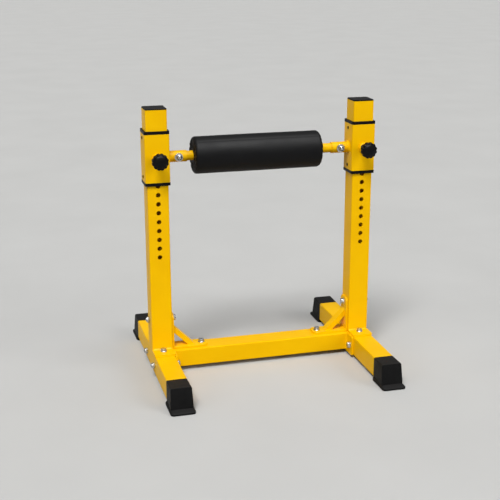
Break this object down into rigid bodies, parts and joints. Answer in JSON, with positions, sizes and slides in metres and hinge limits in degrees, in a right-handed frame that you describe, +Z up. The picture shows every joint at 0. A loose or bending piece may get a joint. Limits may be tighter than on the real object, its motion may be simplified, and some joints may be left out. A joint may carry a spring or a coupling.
{
  "type": "adjustable squat stand",
  "caption": "Split-squat stand: a padded roller spins between sleeves that slide on square uprights and lock with spring pull-pins; bolted crossbar, corner brackets and rubber-booted legs.",
  "frame": {"origin": "on the floor, midway between the uprights and midway between the front and rear feet", "axes": "+X from the left upright to the right one seen from the front, +Y to the rear, away from the pull-pin knobs, +Z up"},
  "size_m": [0.5856, 0.56, 0.6593],
  "materials": {
    "frame_paint": "satin yellow powder coat",
    "boot_rubber": "matt black",
    "black_plastic": "fine matt black",
    "zinc_plate": "bright zinc plate",
    "pin_steel": "blackened steel",
    "roller_vinyl": "satin black vinyl",
    "roller_foam": "closed foam, hidden by the cover"
  },
  "bodies": {
    "base": {"left_leg": "frame_paint", "left_upright": "frame_paint", "left_bracket": "frame_paint", "left_end_cap": "black_plastic", "front_left_boot": "boot_rubber", "front_left_base_bolt": "zinc_plate", "front_left_crossbar_bolt": "zinc_plate", "front_left_crossbar_nut": "zinc_plate", "rear_left_boot": "boot_rubber", "rear_left_base_bolt": "zinc_plate", "rear_left_crossbar_bolt": "zinc_plate", "rear_left_crossbar_nut": "zinc_plate", "left_bracket_upright_bolt": "zinc_plate", "left_bracket_upright_nut": "zinc_plate", "left_bracket_crossbar_bolt": "zinc_plate", "left_bracket_crossbar_nut": "zinc_plate", "right_leg": "frame_paint", "right_upright": "frame_paint", "right_bracket": "frame_paint", "right_end_cap": "black_plastic", "front_right_boot": "boot_rubber", "front_right_base_bolt": "zinc_plate", "front_right_crossbar_bolt": "zinc_plate", "front_right_crossbar_nut": "zinc_plate", "rear_right_boot": "boot_rubber", "rear_right_base_bolt": "zinc_plate", "rear_right_crossbar_bolt": "zinc_plate", "rear_right_crossbar_nut": "zinc_plate", "right_bracket_upright_bolt": "zinc_plate", "right_bracket_upright_nut": "zinc_plate", "right_bracket_crossbar_bolt": "zinc_plate", "right_bracket_crossbar_nut": "zinc_plate", "crossbar": "frame_paint"},
    "carriage": {"left_sleeve": "frame_paint", "left_upper_bush": "black_plastic", "left_lower_bush": "black_plastic", "left_socket_bolt": "zinc_plate", "left_socket_washer": "zinc_plate", "left_socket_nut": "zinc_plate", "left_pin_barrel": "pin_steel", "right_sleeve": "frame_paint", "right_upper_bush": "black_plastic", "right_lower_bush": "black_plastic", "right_socket_bolt": "zinc_plate", "right_socket_washer": "zinc_plate", "right_socket_nut": "zinc_plate", "right_pin_barrel": "pin_steel", "roller_shaft": "frame_paint"},
    "roller": {"roller_cover": "roller_vinyl", "roller_foam": "roller_foam", "roller_core": "pin_steel", "left_roller_bush": "black_plastic", "right_roller_bush": "black_plastic"},
    "left_pin": {"left_plunger": "pin_steel", "left_knob": "black_plastic", "left_pin_spring": "pin_steel"},
    "right_pin": {"right_plunger": "pin_steel", "right_knob": "black_plastic", "right_pin_spring": "pin_steel"}
  },
  "joints": [
    {"name": "carriage_slide", "type": "slide", "parent": "base", "child": "carriage", "axis": [0, 0, 1], "range_m": [-0.242, 0.044]},
    {"name": "roller_spin", "type": "hinge", "parent": "carriage", "child": "roller", "pos_m": [0, 0, 0.5405], "axis": [1, 0, 0], "continuous": true},
    {"name": "left_pin_pull", "type": "slide", "parent": "carriage", "child": "left_pin", "axis": [0, -1, 0], "range_m": [-0.01, 0.003], "stiffness_N_per_m": 600, "springref_m": -0.02, "deforming": ["left_pin_spring"]},
    {"name": "right_pin_pull", "type": "slide", "parent": "carriage", "child": "right_pin", "axis": [0, -1, 0], "range_m": [-0.01, 0.003], "stiffness_N_per_m": 600, "springref_m": -0.02, "deforming": ["right_pin_spring"]}
  ]
}
